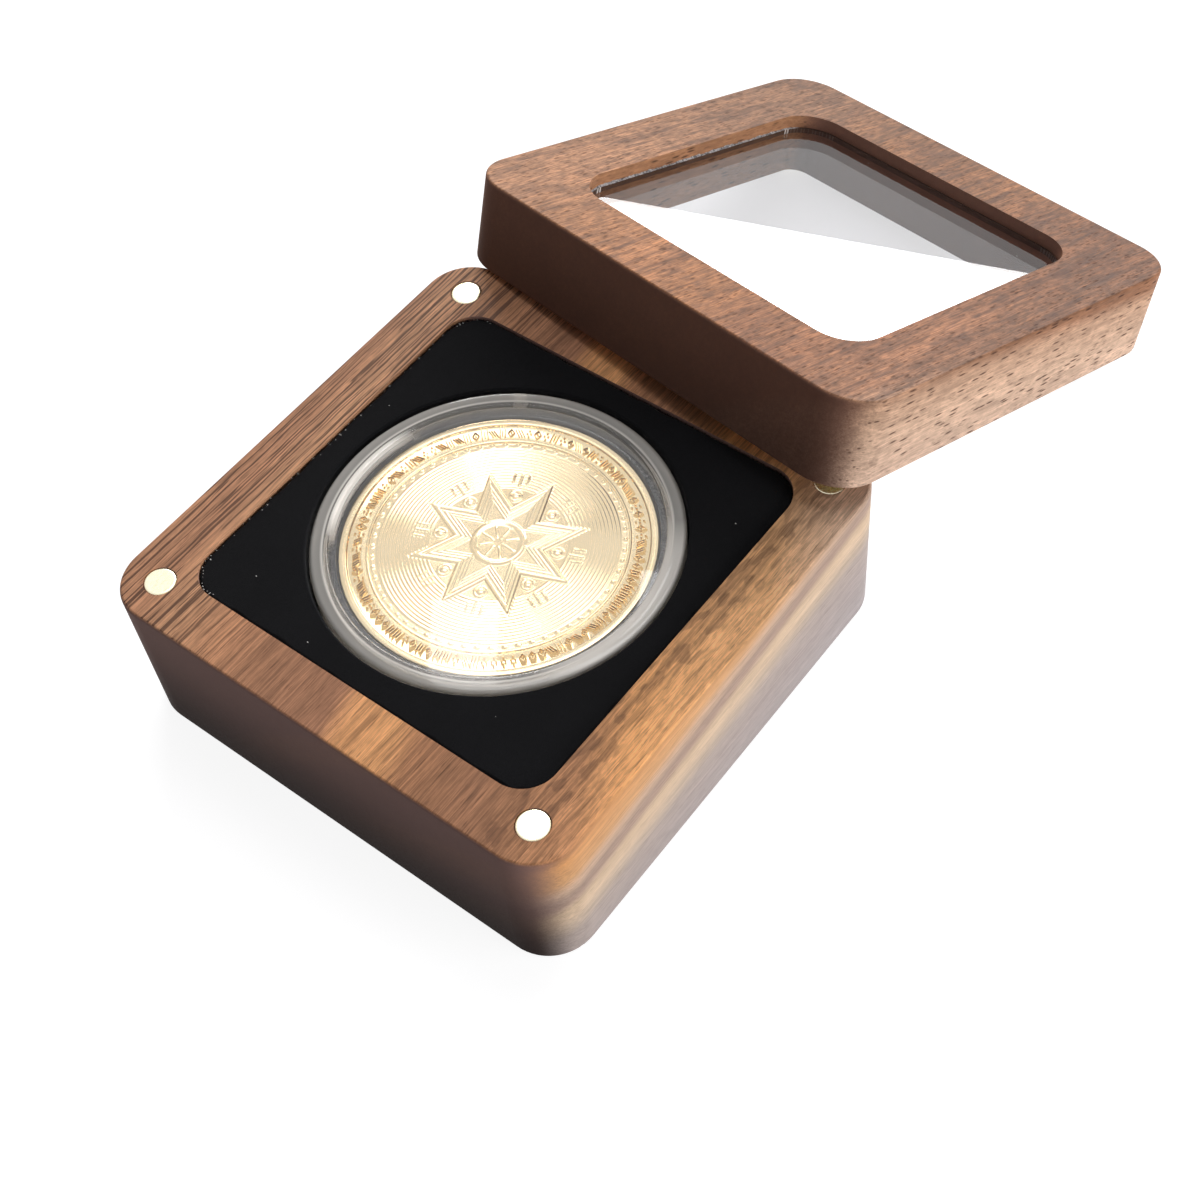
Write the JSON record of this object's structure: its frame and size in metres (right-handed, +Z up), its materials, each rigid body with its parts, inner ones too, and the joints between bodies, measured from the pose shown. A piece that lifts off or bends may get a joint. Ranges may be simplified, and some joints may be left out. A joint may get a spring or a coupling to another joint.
{
  "type": "coin display case",
  "caption": "Square walnut case with a flocked insert for one encapsulated coin and a loose magnetic lid with a clear window, shown open.",
  "frame": {"origin": "middle of the base's underside, on the table", "axes": "+Z up; +Y from the base's front side towards the lid that leans behind it; +X to the right along the base's front side"},
  "size_m": [0.0753, 0.1322, 0.0367],
  "materials": {
    "walnut_base": "oiled walnut",
    "walnut_lid": "oiled walnut",
    "nickel": "nickel plate",
    "flock": "flocked",
    "foam": "closed-cell foam",
    "clear_capsule": "clear polystyrene",
    "clear_pane": "clear acrylic",
    "clear_bond": "cured adhesive",
    "coin_gold": "struck gold plate"
  },
  "bodies": {
    "base": {"base_block": "walnut_base", "base_magnet_front_left": "nickel", "base_magnet_front_right": "nickel", "base_magnet_back_right": "nickel", "base_magnet_back_left": "nickel", "insert_lower_layer": "foam", "insert_upper_layer": "flock"},
    "capsule_lower": {"capsule_lower_half": "clear_capsule"},
    "coin": {"coin": "coin_gold"},
    "capsule_upper": {"capsule_upper_half": "clear_capsule"},
    "lid": {"lid_frame": "walnut_lid", "window_pane": "clear_pane", "pane_bond": "clear_bond", "lid_magnet_front_left": "nickel", "lid_magnet_front_right": "nickel", "lid_magnet_back_right": "nickel", "lid_magnet_back_left": "nickel"}
  },
  "joints": [
    {"name": "lid_lift", "type": "slide", "parent": "base", "child": "lid", "axis": [0, 0, 1], "range_m": [0, 0.05]},
    {"name": "capsule_lift", "type": "slide", "parent": "base", "child": "capsule_lower", "axis": [0, 0, 1], "range_m": [0, 0.03]},
    {"name": "coin_lift", "type": "slide", "parent": "capsule_lower", "child": "coin", "axis": [0, 0, 1], "range_m": [0, 0.015]},
    {"name": "capsule_cover_lift", "type": "slide", "parent": "coin", "child": "capsule_upper", "axis": [0, 0, 1], "range_m": [0, 0.015]}
  ]
}
